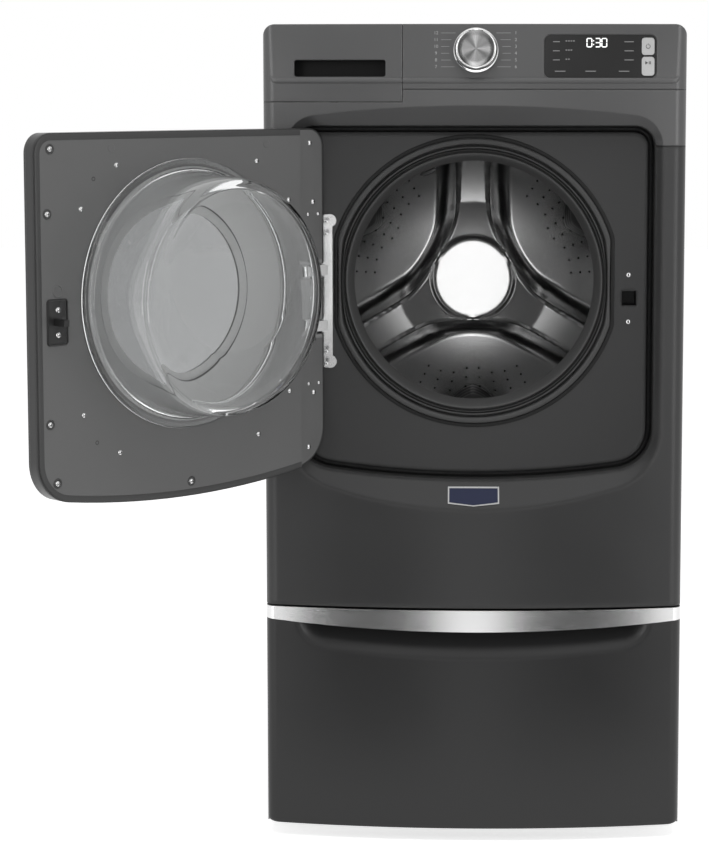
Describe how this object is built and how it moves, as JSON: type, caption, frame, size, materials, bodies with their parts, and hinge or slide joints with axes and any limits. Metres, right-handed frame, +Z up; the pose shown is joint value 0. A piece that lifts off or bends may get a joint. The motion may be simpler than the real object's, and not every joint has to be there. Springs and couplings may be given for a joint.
{
  "type": "front load washing machine",
  "caption": "Front load washing machine with a hinged round glass door, detergent drawer, turning drum and control knob, on a matching pedestal with a storage drawer.",
  "frame": {"origin": "on the floor at the centre of the four levelling feet", "axes": "+X to the right as a user faces the machine, +Y from the front to the back, +Z up"},
  "size_m": [1.0026, 1.2306, 1.346],
  "materials": {
    "graphite_paint": "satin metallic graphite paint",
    "console_paint": "satin metallic graphite finish, slightly lighter than the cabinet",
    "galvanised_steel": "zinc coated sheet",
    "brushed_strip": "brushed, grain along X",
    "black_glass": "gloss black display window",
    "key_plastic": "satin moulded keys",
    "knob_metal": "dark satin metal",
    "knob_trim": "satin trim ring",
    "door_liner_plastic": "grey moulded plastic",
    "clear_glass": "clear moulded glass",
    "window_glass": "tinted clear window",
    "bright_steel": "bright plated steel",
    "screw_steel": "zinc plated",
    "gasket_rubber": "dark grey rubber",
    "drum_steel": "stainless sheet",
    "tub_plastic": "off white filled plastic",
    "cast_weight": "rough casting",
    "spider_metal": "cast aluminium",
    "belt_rubber": "ribbed belt",
    "motor_casting": "cast housing",
    "rotor_steel": "steel",
    "white_plastic": "white moulded plastic",
    "tray_plastic": "light grey moulded plastic",
    "black_plastic": "black moulded plastic",
    "hose_rubber": "grey hose"
  },
  "bodies": {
    "cabinet": {"badge_plate": "brushed_strip", "base_frame": "galvanised_steel", "cabinet_screws": "screw_steel", "cord_gland": "black_plastic", "counterweight": "cast_weight", "dispenser_housing": "white_plastic", "display_window": "black_glass", "door_gasket": "gasket_rubber", "door_lock": "black_plastic", "drain_hose": "hose_rubber", "drain_pump": "black_plastic", "drawer_rails": "galvanised_steel", "drive_belt": "belt_rubber", "drum_bearings": "rotor_steel", "fascia": "console_paint", "front_panel": "graphite_paint", "front_screws": "screw_steel", "hinge_bracket": "bright_steel", "inlet_valve": "white_plastic", "motor_housing": "motor_casting", "pedestal_base": "galvanised_steel", "pedestal_cabinet": "graphite_paint", "rear_panel": "galvanised_steel", "side_panel_left": "graphite_paint", "side_panel_right": "graphite_paint", "top_panel": "graphite_paint", "tub_dampers": "black_plastic", "tub_front": "tub_plastic", "tub_rear": "tub_plastic", "tub_springs": "screw_steel"},
    "door": {"door_outer_panel": "graphite_paint", "door_inner_panel": "door_liner_plastic", "door_bowl": "clear_glass", "bowl_retainer": "black_plastic", "door_window": "window_glass", "hinge_leaf": "galvanised_steel", "hinge_pins": "bright_steel", "strike_hook": "bright_steel", "door_screws": "screw_steel"},
    "dispenser": {"dispenser_tray": "tray_plastic", "dispenser_front": "console_paint", "softener_cup": "tray_plastic"},
    "pedestal_drawer": {"pedestal_drawer_front": "graphite_paint", "pedestal_drawer_box": "tray_plastic", "pedestal_handle_strip": "brushed_strip", "drawer_runners": "galvanised_steel"},
    "cycle_knob": {"cycle_knob": "knob_metal", "knob_ring": "knob_trim"},
    "power_button": {"power_button": "key_plastic"},
    "start_button": {"start_button": "key_plastic"},
    "drum": {"drum_shell": "drum_steel", "drum_back": "drum_steel", "drum_lifters": "tray_plastic", "drum_shaft": "spider_metal", "drum_pulley": "spider_metal"},
    "motor_rotor": {"motor_rotor": "rotor_steel"},
    "foot_front_left": {"foot_front_left": "black_plastic"},
    "foot_front_right": {"foot_front_right": "black_plastic"},
    "foot_rear_left": {"foot_rear_left": "black_plastic"},
    "foot_rear_right": {"foot_rear_right": "black_plastic"}
  },
  "joints": [
    {"name": "door_hinge", "type": "hinge", "parent": "cabinet", "child": "door", "pos_m": [-0.268, -0.418, 0.9], "axis": [0, 0, 1], "range_deg": [0, 134]},
    {"name": "dispenser_slide", "type": "slide", "parent": "cabinet", "child": "dispenser", "axis": [0, -1, 0], "range_m": [0, 0.23]},
    {"name": "pedestal_drawer_slide", "type": "slide", "parent": "cabinet", "child": "pedestal_drawer", "axis": [0, -1, 0], "range_m": [0, 0.4]},
    {"name": "cycle_knob_turn", "type": "hinge", "parent": "cabinet", "child": "cycle_knob", "pos_m": [0.002, -0.43726, 1.3035], "axis": [0, -0.9893, 0.1458], "continuous": true},
    {"name": "power_button_press", "type": "slide", "parent": "cabinet", "child": "power_button", "axis": [0, 1, 0], "range_m": [0, 0.0015], "stiffness_N_per_m": 600},
    {"name": "start_button_press", "type": "slide", "parent": "cabinet", "child": "start_button", "axis": [0, 1, 0], "range_m": [0, 0.0015], "stiffness_N_per_m": 600},
    {"name": "drum_turn", "type": "hinge", "parent": "cabinet", "child": "drum", "pos_m": [0, -0.39, 0.928], "axis": [0, 0.9976, -0.0698], "continuous": true},
    {"name": "motor_turn", "type": "hinge", "parent": "cabinet", "child": "motor_rotor", "pos_m": [0, -0.41525, 0.56688], "axis": [0, 0.9976, -0.0698], "continuous": true},
    {"name": "foot_front_left_turn", "type": "hinge", "parent": "cabinet", "child": "foot_front_left", "pos_m": [-0.27, -0.31, 0], "axis": [0, 0, 1], "continuous": true},
    {"name": "foot_front_right_turn", "type": "hinge", "parent": "cabinet", "child": "foot_front_right", "pos_m": [0.27, -0.31, 0], "axis": [0, 0, 1], "continuous": true},
    {"name": "foot_rear_left_turn", "type": "hinge", "parent": "cabinet", "child": "foot_rear_left", "pos_m": [-0.27, 0.31, 0], "axis": [0, 0, 1], "continuous": true},
    {"name": "foot_rear_right_turn", "type": "hinge", "parent": "cabinet", "child": "foot_rear_right", "pos_m": [0.27, 0.31, 0], "axis": [0, 0, 1], "continuous": true}
  ],
  "couplings": [
    {"joint": "motor_turn", "follows": "drum_turn", "ratio": 11.667}
  ]
}
